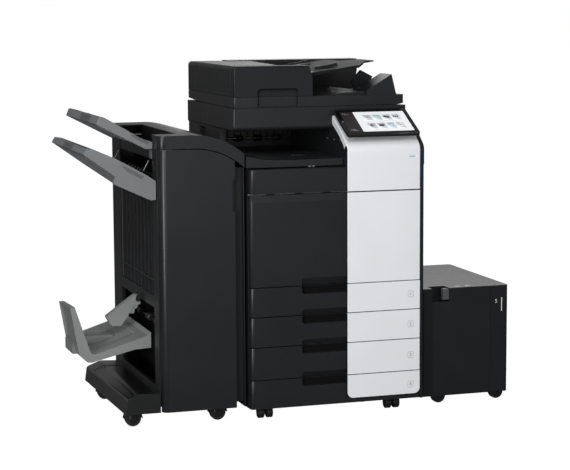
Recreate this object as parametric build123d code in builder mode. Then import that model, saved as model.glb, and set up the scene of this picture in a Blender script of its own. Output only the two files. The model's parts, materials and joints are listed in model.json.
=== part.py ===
"""Office photocopier with a docked finisher (left) and a large paper feeder (right).

Stations are given in millimetres from the copier's left side (x), from the plane of its
drawer fronts (y, positive to the back) and from the floor (z).  LEFT and FRONT carry them
into the model's frame, whose origin is the middle of the whole system's footprint.
"""
from build123d import *
from math import cos, radians, sin
import os

# ------------------------------------------------------------------ driving dimensions
system_left, system_right = -573.0, 961.0     # booklet tray's tip, side feeder's right side
system_front, system_back = -20.0, 745.0      # control panel's edge, scanner's back
LEFT = -(system_left + system_right) / 2      # model x of the copier's left side
FRONT = -(system_front + system_back) / 2     # model y of the drawer fronts

copier_width = 616.0
copier_back = 700.0
sheet = 2.0                                   # chassis sheet metal
skin = 3.0                                    # moulded cover wall
front_thickness = 22.0                        # doors and drawer fronts
seam = 3.0                                    # gap between neighbouring front panels
drawer_seams = [43.5, 143.0, 254.0, 356.0, 456.0]
door_top = 765.0
body_top = 850.0
column_left, column_right = 339.0, 601.0      # white column and the white panels under it
panel_proud = 8.0                             # white panels stand this far out of the fronts
grip_left = 180.0                             # finger grips run from here to the white panels
grip_depth = 15.0
drawer_travel = 400.0

scanner_left, scanner_right, scanner_front = -11.0, 607.0, 148.0
scanner_bottom, scanner_top = 966.0, 1043.5
feeder_left, feeder_right = -9.0, 600.0       # document feeder
feeder_back = 738.0
feeder_bottom, feeder_deck = 1044.0, 1080.0
hood_right, hood_top, mouth_floor = 270.0, 1184.0, 1124.0
hinge_y, hinge_z = 737.0, 1052.5              # document feeder's hinge axis

screen_tilt = 27.0
panel_x, panel_width, panel_depth = 467.0, 260.0, 166.0
tilt_y, tilt_z = 118.0, 1012.0                # control panel's tilt axis

finisher_left, finisher_right = -300.0, -9.0
finisher_front, finisher_back = 27.0, 725.0
finisher_bottom = 51.0
arch_start = -182.0                           # the finisher's top starts to curve down here
arch_top, arch_end = 968.0, 901.0
arch_seam, arch_seam_end = 924.5, 856.0       # seam between top cover and door
tray_front, tray_back = 62.0, 610.0           # finisher's lower output tray

store_left, store_right = 641.0, 961.0        # large paper feeder
store_front, store_back = 56.0, 580.0
store_bottom, store_top = 31.0, 410.0
lid_front, lid_left = 137.0, 716.0

pin_radius, running_fit = 4.0, 0.05
finisher_wheel, store_wheel, caster_wheel = 27.0, 25.0, 20.0

os.makedirs("parts", exist_ok=True)


# ------------------------------------------------------------------ helpers
def save(piece, name):
    """Label the finished piece and write it as its own STEP file."""
    piece.part.label = name
    export_step(piece.part, f"parts/{name}.step")


def place(x, y, z):
    """Model coordinates of a station."""
    return (LEFT + x, FRONT + y, z)


def block(x, y, z, mode=Mode.ADD):
    """Box over the station ranges x, y and z."""
    middle = place((x[0] + x[1]) / 2, (y[0] + y[1]) / 2, (z[0] + z[1]) / 2)
    with Locations(middle):
        Box(x[1] - x[0], y[1] - y[0], z[1] - z[0], mode=mode)


def rod(axis, start, end, across, radius, mode=Mode.ADD):
    """Cylinder along "x", "y" or "z" from start to end; across holds its other two stations."""
    middle = (start + end) / 2
    centre = {"x": (middle, *across), "y": (across[0], middle, across[1]), "z": (*across, middle)}[axis]
    turn = {"x": (0, 90, 0), "y": (90, 0, 0), "z": (0, 0, 0)}[axis]
    with Locations(Location(place(*centre), turn)):
        Cylinder(radius, end - start, mode=mode)


def across_x(points, x, mode=Mode.ADD, rounding=None):
    """Extrude a (y, z) outline over the range x; rounding maps a corner to its radius."""
    with BuildSketch(Plane.YZ.offset(LEFT + x[0])) as outline:
        Polygon(*[(FRONT + y, z) for y, z in points], align=None)
        round_corners(outline, rounding, FRONT)
    extrude(outline.sketch, amount=x[1] - x[0], dir=(1, 0, 0), mode=mode)


def across_y(points, y, mode=Mode.ADD, rounding=None):
    """Extrude an (x, z) outline over the range y."""
    with BuildSketch(Plane.XZ.offset(-(FRONT + y[0]))) as outline:
        Polygon(*[(LEFT + x, z) for x, z in points], align=None)
        round_corners(outline, rounding, LEFT)
    extrude(outline.sketch, amount=y[1] - y[0], dir=(0, 1, 0), mode=mode)


def across_z(points, z, mode=Mode.ADD, rounding=None):
    """Extrude an (x, y) outline over the range z."""
    with BuildSketch(Plane.XY.offset(z[0])) as outline:
        Polygon(*[(LEFT + x, FRONT + y) for x, y in points], align=None)
        round_corners(outline, rounding, LEFT, FRONT)
    extrude(outline.sketch, amount=z[1] - z[0], dir=(0, 0, 1), mode=mode)


def round_corners(outline, rounding, shift_u, shift_v=0.0):
    """Fillet the named corners of an outline; each key is a corner of its station points."""
    for (u, v), radius in (rounding or {}).items():
        fillet(outline.vertices().sort_by_distance((shift_u + u, shift_v + v, 0))[0], radius)


def upright_edge(piece, x, y):
    """The vertical edge of the piece that passes nearest the station x, y."""
    return piece.edges().filter_by(Axis.Z).sort_by_distance(place(x, y, 0))


def edges_near(piece, axis, x=None, y=None, z=None):
    """Edges along the axis whose middle has the given stations."""
    wanted = (None if x is None else LEFT + x, None if y is None else FRONT + y, z)

    def matches(edge):
        middle = edge @ 0.5
        return all(w is None or abs(m - w) < 0.3 for w, m in zip(wanted, (middle.X, middle.Y, middle.Z)))

    return piece.edges().filter_by(axis).filter_by(matches)


# ------------------------------------------------------------------ copier: chassis and covers
chassis_left, chassis_right = skin, copier_width - skin
chassis_front, chassis_back = 30.0, 690.0
chassis_bottom, chassis_top = 44.0, 846.0
shelf_heights = [250.0, 458.0]
bottle_radius, bottle_z = 36.0, 726.0
bottle_x = [80.0, 180.0, 280.0, 380.0]
caster_x, caster_y = [67.0, 526.0], [60.0, 620.0]
stem_radius, floor_plate = 6.0, 3.0

with BuildPart() as base_frame:
    block((chassis_left, chassis_right), (chassis_front, chassis_back), (chassis_bottom, chassis_bottom + floor_plate))
    for wall in (chassis_left, chassis_right - sheet):
        block((wall, wall + sheet), (chassis_front, chassis_back), (chassis_bottom, chassis_top))
    block((chassis_left, chassis_right), (chassis_back - sheet, chassis_back), (chassis_bottom, chassis_top))
    for height in (*shelf_heights, chassis_top - sheet):
        block((chassis_left, chassis_right), (chassis_front, chassis_back), (height, height + sheet))
    # inner front plate, with a round hole in front of each toner bottle
    block((chassis_left, chassis_right), (chassis_front, chassis_front + sheet), (shelf_heights[1], chassis_top))
    for x in bottle_x:
        rod("y", chassis_front - 1, chassis_front + sheet + 1, (x, bottle_z), bottle_radius + 4, Mode.SUBTRACT)
    # bores for the casters' stems
    for x in caster_x:
        for y in caster_y:
            rod("z", chassis_bottom - 1, chassis_bottom + floor_plate + 1, (x, y), stem_radius + running_fit,
                Mode.SUBTRACT)
save(base_frame, "base_frame")

with BuildPart() as left_cover:
    block((0, skin), (front_thickness + 3, copier_back), (chassis_bottom, door_top))
    block((0, skin), (chassis_front, copier_back), (door_top, body_top))
save(left_cover, "left_cover")

with BuildPart() as right_cover:
    block((copier_width - skin, copier_width), (0, copier_back), (chassis_bottom, body_top))
    block((column_right + 3, copier_width), (-4, front_thickness), (chassis_bottom, body_top))
    fillet(upright_edge(right_cover, copier_width, -4)[0], 5)
    # cheek that follows the white column's side
    across_x([(-4, body_top), (-4, 912), (60, 961), (147, 1007), (147, 980), (70, 940), (24, 908), (24, body_top)],
             (column_right, copier_width), rounding={(-4, 912): 32})
    block((copier_width - skin, copier_width), (140, copier_back), (body_top, scanner_bottom))
    block((column_right, copier_width), (152, copier_back), (scanner_bottom - skin, scanner_bottom))
save(right_cover, "right_cover")

inlet_x, inlet_z = 70.0, 110.0
port_x, port_z = 540.0, 620.0
with BuildPart() as rear_cover:
    block((skin, copier_width - skin), (chassis_back, copier_back), (chassis_bottom, body_top))
    block((inlet_x - 16, inlet_x + 16), (chassis_back, copier_back), (inlet_z - 13, inlet_z + 13), Mode.SUBTRACT)
    block((port_x - 30, port_x + 30), (chassis_back + 3, copier_back), (port_z - 60, port_z + 60), Mode.SUBTRACT)
    for row in range(8):                      # cooling slots
        slot_z = 700 + 12 * row
        block((120, 360), (chassis_back + 4, copier_back), (slot_z, slot_z + 5), Mode.SUBTRACT)
save(rear_cover, "rear_cover")

with BuildPart() as power_inlet:
    block((inlet_x - 16, inlet_x + 16), (chassis_back, copier_back), (inlet_z - 13, inlet_z + 13))
    block((inlet_x - 12, inlet_x + 12), (chassis_back + 2, copier_back), (inlet_z - 9, inlet_z + 9), Mode.SUBTRACT)
    for x in (-7, 0, 7):
        block((inlet_x + x - 1, inlet_x + x + 1), (chassis_back + 1, copier_back - 1), (inlet_z - 2, inlet_z + 2))
save(power_inlet, "power_inlet")

with BuildPart() as upper_front_cover:
    block((0, column_left - 1), (0, chassis_front), (door_top + seam, body_top))
    fillet(upright_edge(upper_front_cover, 0, 0)[0], 18)
    fillet(edges_near(upper_front_cover, Axis.X, y=0, z=body_top), 4)
save(upper_front_cover, "upper_front_cover")

# the white column: one bent sheet-like moulding that rises and leans back under the control panel
column_outer = [(-panel_proud, door_top + seam), (-panel_proud, 915), (60, 966), (147, 1012)]
column_inner = [(147, 985), (70, 945), (24, 912), (24, door_top + seam)]


def on_outer_side(edge):
    """True for the column's side edges that run along its outer, visible face."""
    y, z = (edge @ 0.5).Y - FRONT, (edge @ 0.5).Z
    return y < 1 - panel_proud or z - 0.62 * y > 913


with BuildPart() as white_column:
    across_x(column_outer + column_inner, (column_left, column_right), rounding={(-panel_proud, 915): 34, (24, 912): 20})
    side_faces = white_column.faces().filter_by(Axis.X)
    fillet([edge for face in side_faces for edge in face.edges() if on_outer_side(edge)], 4)
save(white_column, "white_column")

# black support that carries the scanner: a hollow block at the right and a wall along the back
tray_rim = 893.0
with BuildPart() as scanner_support:
    across_x([(26, body_top), (26, 908), (72, 941), (146, 979), (146, scanner_bottom), (copier_back, scanner_bottom),
              (copier_back, body_top)], (column_left, column_right), rounding={(26, 908): 24})
    block((column_left + skin, column_right - skin), (158, copier_back - skin),
          (body_top, scanner_bottom - skin), Mode.SUBTRACT)
    block((10, column_left), (copier_back - 90, copier_back), (body_top, scanner_bottom))
    block((10 + skin, column_left + 1), (copier_back - 90 + skin, copier_back - skin),
          (body_top, scanner_bottom - skin), Mode.SUBTRACT)
    # closed left side, where the finisher takes over the sheets, with the slot that they leave through
    block((-8, 12), (330, system_back - 3), (tray_rim + 1, scanner_bottom))
    block((-8, 12), (copier_back - 90, system_back - 3), (body_top, scanner_bottom))
    block((-9, 4), (458, 590), (tray_rim, scanner_bottom - 6), Mode.SUBTRACT)
save(scanner_support, "scanner_support")

tray_left, tray_right = -3.0, column_left - 1
with BuildPart() as output_tray:
    across_y([(tray_left, body_top + 4), (tray_right, body_top + 4), (tray_right, 878), (150, 876), (60, 880),
              (tray_left, tray_rim)], (chassis_front, 600))
    across_y([(tray_left + skin, body_top + 4), (tray_right - skin, body_top + 4), (tray_right - skin, 874),
              (150, 872), (60, 876), (tray_left + skin, 888)], (chassis_front + skin, 600 - skin), Mode.SUBTRACT)
    fillet(edges_near(output_tray, Axis.Z, x=tray_right, y=chassis_front), 3)
save(output_tray, "output_tray")

foot_x, foot_y, foot_radius = [130.0, 463.0], [200.0, 560.0], 16.0
with BuildPart() as levelling_feet:
    for x in foot_x:
        for y in foot_y:
            rod("z", 0, 8, (x, y), foot_radius)
            rod("z", 8, chassis_bottom, (x, y), 6)
save(levelling_feet, "levelling_feet")

with BuildPart() as toner_bottles:
    for x in bottle_x:
        rod("y", chassis_front - 4, 430, (x, bottle_z), bottle_radius)
        rod("y", chassis_front - 5, chassis_front + 20, (x, bottle_z), bottle_radius - 10, Mode.SUBTRACT)
        block((x - 4, x + 4), (chassis_front - 4, chassis_front + 20), (bottle_z - 26, bottle_z + 26))
save(toner_bottles, "toner_bottles")

drum_y = (60.0, 420.0)
with BuildPart() as print_engine:
    for x in bottle_x:                        # one drum with its developer per colour
        rod("y", *drum_y, (x, 560), 15)
        block((x - 42, x + 42), drum_y, (572, 640))
    for x in (52, 440):                       # rollers of the transfer belt
        rod("y", *drum_y, (x, 520), 18)
    block((52, 440), drum_y, (502, 538))
    # fuser, with its pair of rollers
    block((490, 590), (50, 430), (600, 800))
    rod("y", 40, 50, (540, 660), 24)
    rod("y", 40, 50, (540, 740), 24)
save(print_engine, "print_engine")

# ------------------------------------------------------------------ scanner
glass = ((48.0, 520.0), (190.0, 620.0))
knuckle_x = [(62.0, 108.0), (482.0, 528.0)]
ear, ear_radius = 7.0, 8.0
with BuildPart() as scanner_housing:
    block((scanner_left, scanner_right), (scanner_front, system_back), (scanner_bottom, scanner_top))
    fillet(edges_near(scanner_housing, Axis.X, y=scanner_front, z=scanner_bottom), 14)
    fillet(upright_edge(scanner_housing, scanner_left, scanner_front)[0], 5)
    block((scanner_left + skin, scanner_right - skin), (scanner_front + 12, system_back - skin),
          (scanner_bottom + skin, scanner_top - skin), Mode.SUBTRACT)
    block(*glass, (scanner_top - skin, scanner_top), Mode.SUBTRACT)
    for left, right in knuckle_x:             # ears and pins that carry the document feeder
        for inner, outer in ((left - 1 - ear, left - 1), (right + 1, right + 1 + ear)):
            rod("x", inner, outer, (hinge_y, hinge_z), ear_radius)
            block((inner, outer), (hinge_y - ear_radius, hinge_y + ear_radius), (scanner_top, hinge_z))
        rod("x", left - 2, right + 2, (hinge_y, hinge_z), pin_radius)
save(scanner_housing, "scanner_housing")

with BuildPart() as platen_glass:
    block(*glass, (scanner_top - skin, scanner_top))
save(platen_glass, "platen_glass")

carriage_travel = 400.0
with BuildPart() as scan_carriage:
    block((60, 100), (180, 660), (984, 1034))
    block((72, 88), (186, 654), (1026, 1034), Mode.SUBTRACT)
save(scan_carriage, "scan_carriage")

# ------------------------------------------------------------------ front door and drawers
door_bottom = drawer_seams[-1] + seam / 2
grip_round = 9.0


def finger_slot(low, high, round_z, depth):
    """Cut a finger grip with one rounded corner at its left."""
    across_y([(grip_left, low), (column_left, low), (column_left, high), (grip_left, high)], (0, depth),
             Mode.SUBTRACT, rounding={(grip_left, round_z): grip_round})


def slanting_relief(low, height):
    """Relief above a grip: it starts near the front's surface and deepens towards the seam below."""
    finger_slot(low, low + height, low + height, grip_depth - 3)
    across_x([(1, low + height), (grip_depth - 3, low + height), (grip_depth - 3, low + 1)], (grip_left, column_left))


with BuildPart() as front_door:
    block((0, column_right), (0, front_thickness), (door_bottom, door_top - seam / 2))
    fillet(upright_edge(front_door, 0, 0)[0], 12)
    # bevel along the top, and the relief over the drawer's finger grip
    across_x([(0, 740), (0, door_top), (5, door_top)], (0, column_left), Mode.SUBTRACT)
    slanting_relief(door_bottom, 24)
    block((-1, 2), (8, 14), (700, 750), Mode.SUBTRACT)
save(front_door, "front_door")

with BuildPart() as front_door_panel:
    block((column_left, column_right), (-panel_proud, 0), (door_bottom, door_top - seam / 2))
    for x in (column_left, column_right):
        fillet(upright_edge(front_door_panel, x, -panel_proud)[0], 3)
save(front_door_panel, "front_door_panel")

tray_x, tray_y = (40.0, 576.0), (front_thickness, 640.0)
white_bottom = 63.0                           # lower edge of the lowest white panel


def make_drawer(number, low, high):
    """Black front with its finger grips, and the open cassette behind it."""
    with BuildPart() as drawer:
        block((0, column_right), (0, front_thickness), (low, high))
        fillet(upright_edge(drawer, 0, 0)[0], 12)
        finger_slot(high - 27, high, high - 27, grip_depth)
        if number < 4:
            slanting_relief(low, 18)
        block(tray_x, tray_y, (low + 6, high - 20))
        block((tray_x[0] + skin, tray_x[1] - skin), (tray_y[0] + skin, tray_y[1] - skin),
              (low + 6 + skin, high - 20), Mode.SUBTRACT)
        for y in (180, 500):                  # side guides that hold the stack
            block((tray_x[0] + skin, tray_x[0] + 40), (y, y + 6), (low + 9, high - 40))
    save(drawer, f"drawer_{number}")


def make_drawer_panel(number, low, high):
    """White panel on a drawer's front; the lowest one ends in rounded corners."""
    with BuildPart() as panel:
        block((column_left, column_right), (-panel_proud, 0), (low, high))
        if number == 4:
            for x in (column_left, column_right):
                fillet(edges_near(panel, Axis.Y, x=x, z=low), 20)
    save(panel, f"drawer_{number}_panel")


for number in range(1, 5):
    drawer_low = drawer_seams[4 - number] + seam / 2
    drawer_high = drawer_seams[5 - number] - seam / 2
    make_drawer(number, drawer_low, drawer_high)
    make_drawer_panel(number, white_bottom if number == 4 else drawer_low, drawer_high)

# ------------------------------------------------------------------ control panel
tilt = radians(screen_tilt)
panel_middle = (-20 + panel_depth / 2 * cos(tilt), 957 + panel_depth / 2 * sin(tilt))
panel_plane = Plane(origin=place(panel_x, *panel_middle), x_dir=(1, 0, 0), z_dir=(0, -sin(tilt), cos(tilt)))
slab_thickness, box_width, box_depth, box_drop = 13.0, 190.0, 102.0, 20.0
glass_thickness, bezel = 1.5, 4.0
ear_near, ear_width, ear_round, tilt_pin = 41.0, 11.0, 8.0, 3.0

with BuildPart() as panel_housing:
    with BuildSketch(panel_plane) as slab:
        RectangleRounded(panel_width, panel_depth, 10)
    extrude(amount=-slab_thickness)
    chamfer(panel_housing.faces().filter_by(panel_plane).sort_by(Axis.Z)[0].edges(), 4)
    with BuildSketch(panel_plane) as recess:
        RectangleRounded(panel_width - 2 * bezel, panel_depth - 2 * bezel, 7)
    extrude(amount=-glass_thickness, mode=Mode.SUBTRACT)
    # smaller electronics box under the slab, with slots for the arm's ears
    with BuildSketch(panel_plane.offset(1 - slab_thickness)) as box:
        with Locations((0, 28)):
            RectangleRounded(box_width, box_depth, 8)
    extrude(amount=slab_thickness - 1 - box_drop)
    for side in (-1, 1):
        near, far = sorted((panel_x + side * (ear_near - 1), panel_x + side * (ear_near + ear_width + 1)))
        block((near, far), (tilt_y - 14, tilt_y + 25), (tilt_z - 40, tilt_z - 1), Mode.SUBTRACT)
        rod("x", near, far, (tilt_y, tilt_z), ear_round + 0.4, Mode.SUBTRACT)
    rod("x", panel_x - ear_near, panel_x + ear_near, (tilt_y, tilt_z), tilt_pin + running_fit, Mode.SUBTRACT)
save(panel_housing, "panel_housing")

with BuildPart() as touch_screen:
    with BuildSketch(panel_plane) as pane:
        RectangleRounded(panel_width - 2 * bezel, panel_depth - 2 * bezel, 7)
    extrude(amount=-glass_thickness)
save(touch_screen, "touch_screen")

(slope_y, slope_z), (slope_end_y, slope_end_z) = column_outer[2:]


def column_height(y):
    """Height of the white column's upper slope at the station y."""
    return slope_z + (y - slope_y) * (slope_end_z - slope_z) / (slope_end_y - slope_y)


with BuildPart() as panel_arm:
    for side in (-1, 1):
        near, far = sorted((panel_x + side * ear_near, panel_x + side * (ear_near + ear_width)))
        rod("x", near, far, (tilt_y, tilt_z), ear_round)
        across_x([(tilt_y - 7, column_height(tilt_y - 7)), (tilt_y + 7, column_height(tilt_y + 7)),
                  (tilt_y + 7, tilt_z), (tilt_y - 7, tilt_z)], (near, far))
    rod("x", panel_x - ear_near - 1, panel_x + ear_near + 1, (tilt_y, tilt_z), tilt_pin)
save(panel_arm, "panel_arm")

# ------------------------------------------------------------------ document feeder
grip_x, grip_z = (75.0, 217.0), (1047.0, 1108.0)
pad_x, pad_y = (58.0, 510.0), (200.0, 610.0)


def cut_feeder_grip():
    """Finger recess that runs from the feeder's base up into its cover, with rounded upper corners."""
    across_y([(grip_x[0], grip_z[0]), (grip_x[1], grip_z[0]), (grip_x[1], grip_z[1]), (grip_x[0], grip_z[1])],
             (scanner_front, scanner_front + 14), Mode.SUBTRACT,
             rounding={(grip_x[0], grip_z[1]): 9, (grip_x[1], grip_z[1]): 9})


feeder_tail, wall_left_end, wall_right = 655.0, 120.0, 615.0      # the raised rear wall
with BuildPart() as feeder_base:
    block((feeder_left, feeder_right), (scanner_front, feeder_back), (feeder_bottom, feeder_deck))
    fillet(upright_edge(feeder_base, feeder_left, scanner_front)[0], 6)
    fillet(upright_edge(feeder_base, feeder_right, scanner_front)[0], 6)
    block((feeder_left + skin, feeder_right - skin), (scanner_front + 19, feeder_tail),
          (feeder_bottom + 9, feeder_deck - skin), Mode.SUBTRACT)
    cut_feeder_grip()
    # raised rear wall with a slanting right end
    across_y([(wall_left_end, feeder_deck), (feeder_right, feeder_deck), (wall_right, 1143), (wall_right - 2, 1187),
              (wall_left_end, 1187)], (feeder_tail + 1, feeder_back))
    block((wall_left_end + skin, feeder_right - skin), (feeder_tail + 4, feeder_back - skin),
          (feeder_deck - 10, 1150), Mode.SUBTRACT)
    # wedge at the front right of the output bay, and the tilted stop plate behind it
    across_y([(467, feeder_deck), (467, 1097), (557, 1149), (574, feeder_deck)],
             (scanner_front + 2, scanner_front + 110))
    across_y([(479, 1119), (514, 1157), (558, 1134), (532, feeder_deck), (494, feeder_deck)], (340, 352))
    # output deck, rising gently to the right under the document tray
    across_y([(290, feeder_deck), (467, feeder_deck), (467, 1092)], (scanner_front + 30, feeder_tail))
    # corner notches and knuckles of the lid hinges
    for left, right in knuckle_x:
        block((left - 12, right + 12), (hinge_y - 14, feeder_back), (feeder_bottom, hinge_z + 10), Mode.SUBTRACT)
        rod("x", left, right, (hinge_y, hinge_z), ear_radius - 1)
        block((left, right), (hinge_y - 6, hinge_y + 1), (hinge_z, hinge_z + 10))
        rod("x", left, right, (hinge_y, hinge_z), pin_radius + running_fit, Mode.SUBTRACT)
    block(pad_x, pad_y, (feeder_bottom, feeder_bottom + 6), Mode.SUBTRACT)
    # shadow groove over the scanner, widening at the right end and at the back of the left side
    groove = (feeder_bottom, feeder_bottom + 2.5)
    block((feeder_left, feeder_right), (scanner_front, scanner_front + 5), groove, Mode.SUBTRACT)
    block((feeder_left, feeder_left + 5), (scanner_front, feeder_back), groove, Mode.SUBTRACT)
    across_y([(566, feeder_bottom), (601, feeder_bottom), (601, 1050)], (scanner_front, 300), Mode.SUBTRACT)
    across_x([(560, feeder_bottom), (feeder_back, feeder_bottom), (feeder_back, 1052)], (feeder_left, 20), Mode.SUBTRACT)
save(feeder_base, "feeder_base")

with BuildPart() as platen_pad:
    block(pad_x, pad_y, (feeder_bottom, feeder_bottom + 6))
save(platen_pad, "platen_pad")

with BuildPart() as feed_cover:
    block((feeder_left, hood_right), (scanner_front, feeder_tail), (feeder_deck + 1, hood_top))
    block((feeder_left, wall_left_end - 1), (scanner_front, feeder_back), (feeder_deck + 1, hood_top))
    fillet(edges_near(feed_cover, Axis.Y, x=feeder_left, z=hood_top), 14)
    # one round runs up the front left corner and along the front's top edge
    front_rim = feed_cover.faces().sort_by(Axis.Y)[0].edges()
    fillet([edge for edge in front_rim
            if (edge @ 0.5).Z > feeder_deck + 2 and (edge @ 0.5).X < LEFT + hood_right - 1], 6)
    block((feeder_left + skin, hood_right + 1), (scanner_front + 19, feeder_tail - skin),
          (feeder_deck, hood_top - 14), Mode.SUBTRACT)
    block((feeder_left + skin, wall_left_end - 1 - skin), (feeder_tail - 10, feeder_back - skin),
          (feeder_deck, hood_top - 14), Mode.SUBTRACT)
    # feed mouth: the rear part of the top is cut away at the right, down to the document tray's level
    across_z([(162, 212), (197, feeder_tail), (hood_right, feeder_tail), (hood_right, 212)], (mouth_floor - 4, hood_top))
    across_z([(165, 215), (200, feeder_tail + 1), (hood_right + 1, feeder_tail + 1), (hood_right + 1, 215)],
             (mouth_floor, hood_top + 1), Mode.SUBTRACT)
    # the right edge leans in towards the top
    across_y([(hood_right, 1137), (266, 1158), (257, hood_top + 1), (hood_right + 1, hood_top + 1)],
             (scanner_front - 1, 216), Mode.SUBTRACT)
    cut_feeder_grip()
save(feed_cover, "feed_cover")

tray_slope = [(274, 1158), (303, 1163), (376, 1171), (422, 1178), (482, 1184), (540, 1188), (567, 1190),
              (567, 1186), (540, 1182), (482, 1176), (422, 1169), (376, 1162), (303, 1152), (274, 1146)]
with BuildPart() as document_tray:
    across_y(tray_slope, (172, feeder_tail - 6))
    across_z([(440, 160), (504, 290), (530, 350), (570, 350), (570, 160)], (1100, 1200), Mode.SUBTRACT)
    across_z([(486, 700), (496, 520), (570, 500), (570, 700)], (1100, 1200), Mode.SUBTRACT)
    block((306, 336), (feeder_tail - 7, feeder_tail + 1), (1154, 1162))      # bracket on the rear wall
save(document_tray, "document_tray")


def make_guide(name, face, outer):
    """Sliding paper guide: an upright fence on a thin foot that rides over the tray."""
    low, high = sorted((face, outer))
    with BuildPart() as guide:
        across_y([(312, 1165.6), (376, 1172.6), (400, 1176.2), (400, 1184), (392, 1186), (320, 1175)], (face, face + 5))
        across_y([(340, 1169.2), (376, 1173), (390, 1175), (390, 1178), (340, 1172.4)], (low, high))
    save(guide, name)


guide_travel = 75.0
make_guide("front_guide", 262.0, 302.0)
make_guide("rear_guide", 566.0, 526.0)

# ------------------------------------------------------------------ finisher
deck_z = 64.0                                 # bottom plate, above the wheels
plate = 3.0
wall_left, cavity_x = -288.0, -216.0
post_front, post_back, bay_back = 54.0, 115.0, 600.0
cross_low, cross_high, skirt_top = 392.0, 430.0, 128.0
plate_top, exit_top, exit_bar = 745.0, 920.0, 34.0
strip_left, strip_y = -40.0, 52.0             # narrow recessed strip beside the finisher's door
finisher_wheel_x, finisher_wheel_y = [-384.0, -92.0], [96.0, 534.0]
fork_gap, fork_wall = 12.0, 3.0
guide_y, guide_pivot = (305.0, 335.0), (-312.0, 392.0)


def fork(x, y, wheel_radius, top):
    """Two plates and an axle pin that hold a wheel turning about a front-to-back axle."""
    for low in (y - fork_gap - fork_wall, y + fork_gap):
        block((x - 9, x + 9), (low, low + fork_wall), (wheel_radius - 8, top))
    rod("y", y - fork_gap - 1, y + fork_gap + 1, (x, wheel_radius), pin_radius)


def arch(start_z, end_z, floor_z, y, left, mode=Mode.ADD):
    """Solid under the finisher's arch: level from the left, then a round fall to the right."""
    with BuildSketch(Plane.XZ.offset(-(FRONT + y[0]))) as side:
        with BuildLine():
            Line((LEFT + left, floor_z), (LEFT + left, start_z))
            Line((LEFT + left, start_z), (LEFT + arch_start, start_z))
            fall = TangentArc((LEFT + arch_start, start_z), (LEFT + finisher_right, end_z), tangent=(1, 0))
            Line(fall @ 1, (LEFT + finisher_right, floor_z))
            Line((LEFT + finisher_right, floor_z), (LEFT + left, floor_z))
        make_face()
    extrude(side.sketch, amount=y[1] - y[0], dir=(0, 1, 0), mode=mode)


with BuildPart() as finisher_frame:
    block((wall_left, finisher_right), (finisher_front + 33, finisher_back), (deck_z, deck_z + plate))
    arch(arch_seam - 0.5, arch_seam_end - 0.5, finisher_bottom, (finisher_back - plate, finisher_back), finisher_left)
    block((finisher_right - plate, finisher_right), (finisher_front + 8, finisher_back),
          (finisher_bottom, arch_seam_end))
    # outriggers under the foot, and the four wheel forks
    for y in finisher_wheel_y:
        block((-412, wall_left + 1), (y - 20, y + 20), (deck_z, deck_z + plate))
        for x in finisher_wheel_x:
            fork(x, y, finisher_wheel, deck_z)
save(finisher_frame, "finisher_frame")

with BuildPart() as finisher_plates:
    # plate behind the door, plate behind the output side, and the door's jamb with the recessed strip
    block((wall_left, finisher_right - plate), (90, 90 + sheet), (deck_z + plate, arch_seam_end))
    block((cavity_x, cavity_x + sheet), (92, finisher_back - plate), (deck_z + plate, arch_seam_end))
    block((cavity_x, cavity_x + sheet), (post_back - 20, bay_back + 20), (arch_seam_end, arch_top - skin))
    block((strip_left, strip_left + sheet), (strip_y, 91), (deck_z + plate, arch_seam_end))
    block((strip_left, finisher_right - plate), (strip_y, strip_y + skin), (deck_z + plate, arch_seam_end))
save(finisher_plates, "finisher_plates")

with BuildPart() as finisher_side:
    # posts, skirt, crossbar and exit bar of the output side
    for y in ((post_front, post_back), (bay_back, finisher_back - plate)):
        block((finisher_left, wall_left), y, (deck_z + plate, arch_seam))
    block((finisher_left, wall_left), (post_back, bay_back), (cross_low, cross_high))
    block((finisher_left, wall_left), (post_back, bay_back), (deck_z + plate, skirt_top))
    block((finisher_left + 2, wall_left), (post_back, bay_back), (exit_top - exit_bar, exit_top))
    block((finisher_left + 2, cavity_x - 1), (post_back, bay_back), (exit_top - plate, exit_top))
    # recessed plate with upright ribs, which the lower tray travels along
    block((wall_left - 4, wall_left), (post_back, bay_back), (cross_high, plate_top))
    for rib in range(9):
        y = post_back + 30 + rib * 53
        block((wall_left - 9, wall_left - 4), (y, y + 5), (cross_high, plate_top))
    # screwed-on bracket with ears and a pin for the booklet guide
    for low in (guide_y[0] - 7, guide_y[1] + 1):
        rod("y", low, low + 6, guide_pivot, 8)
        across_y([(-320, 392), (-318, 402), (finisher_left - 0.1, 420), (finisher_left - 0.1, 392)], (low, low + 6))
    rod("y", guide_y[0] - 2, guide_y[1] + 2, guide_pivot, pin_radius)
save(finisher_side, "finisher_side")


with BuildPart() as finisher_top:
    arch(arch_top, arch_end, 800, (finisher_front, finisher_back), finisher_left)
    fillet(upright_edge(finisher_top, finisher_left, finisher_front)[0], 22)
    arch(arch_top - skin, arch_end - skin, 799, (finisher_front + 12, finisher_back - skin),
         finisher_left + skin, Mode.SUBTRACT)
    arch(arch_seam, arch_seam_end, 799, (finisher_front - 1, finisher_back + 1), finisher_left - 1, Mode.SUBTRACT)
    block((finisher_left - 1, cavity_x), (post_back, bay_back), (900, 1000), Mode.SUBTRACT)
save(finisher_top, "finisher_top_cover")

door_left, door_right, door_back = -296.0, -42.0, 50.0
with BuildPart() as finisher_door:
    arch(arch_seam - seam, arch_seam_end - seam, finisher_bottom, (finisher_front, door_back), door_left)
    block((door_right, 0), (0, 100), (0, 1000), Mode.SUBTRACT)
    fillet(upright_edge(finisher_door, door_left, finisher_front)[0], 21)
    block((door_right - 9, door_right), (finisher_front, finisher_front + 14), (713, 817), Mode.SUBTRACT)
    block((door_left - 1, door_left + 14), (finisher_front - 1, finisher_front + 1), (88.8, 90), Mode.SUBTRACT)
save(finisher_door, "finisher_door")

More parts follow.
